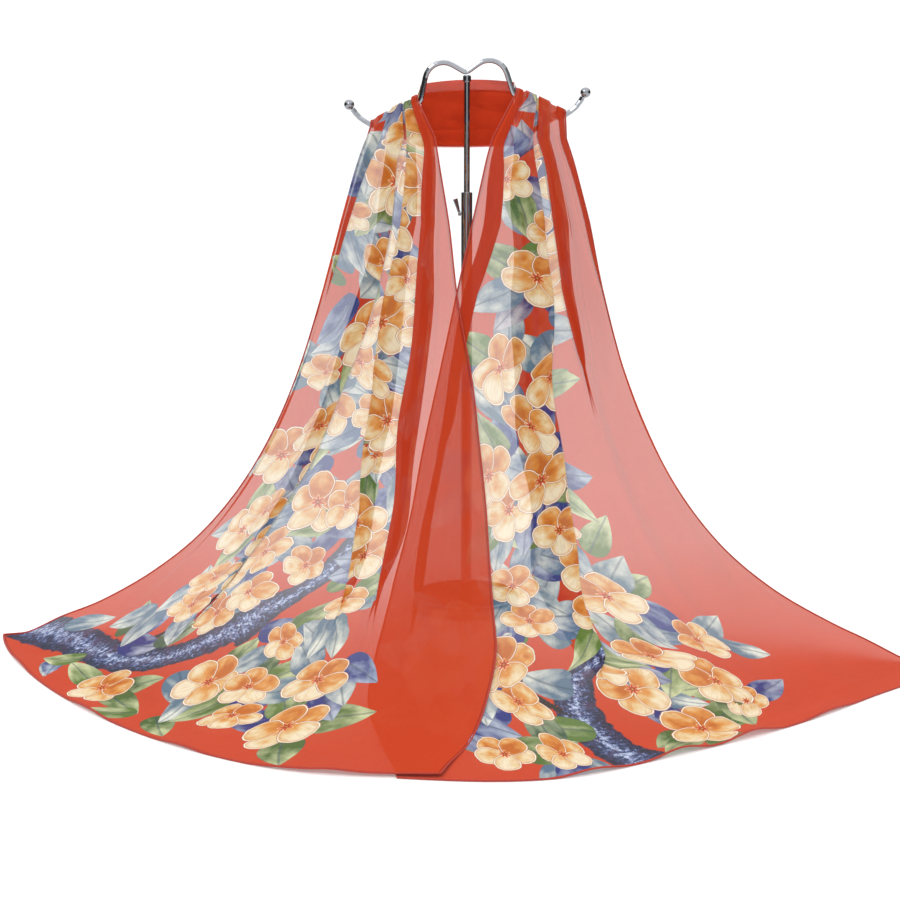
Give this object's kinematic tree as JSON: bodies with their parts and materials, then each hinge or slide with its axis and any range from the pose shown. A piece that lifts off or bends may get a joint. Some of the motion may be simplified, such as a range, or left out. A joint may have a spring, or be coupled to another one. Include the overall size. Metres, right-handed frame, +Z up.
{
  "type": "chiffon scarf on display stand",
  "caption": "Long sheer printed chiffon scarf hung round the neck of a chrome tabletop scarf stand, its two pleated ends crossing in front and fanned out on the table.",
  "frame": {"origin": "centre of the stand base's flat underside, on the table", "axes": "+Z up, -Y the front, where the scarf's two ends fan out; +X to the right as seen from the front"},
  "size_m": [0.9229, 0.5406, 0.5781],
  "materials": {
    "chrome": "bright chrome plate on steel",
    "chiffon": "sheer plain-weave polyester chiffon, orange-red ground with a printed flowering branch at each end",
    "hem": "narrow rolled hem, dark red"
  },
  "bodies": {
    "stand": {"stand_base": "chrome", "stand_lower_tube": "chrome", "stand_upper_post": "chrome", "stand_top_wire": "chrome", "ball_left": "chrome", "ball_right": "chrome", "neck_band": "chiffon", "left_shoulder": "chiffon", "right_shoulder": "chiffon", "left_fall": "chiffon", "right_fall": "chiffon", "left_spread": "chiffon", "right_spread": "chiffon", "left_end_hem": "hem", "right_end_hem": "hem"},
    "screw": {"clamp_screw": "chrome"}
  },
  "joints": [
    {"name": "clamp_screw_turn", "type": "hinge", "parent": "stand", "child": "screw", "pos_m": [-0.0076, 0, 0.421], "axis": [-1, 0, 0], "range_deg": [0, 270]}
  ]
}
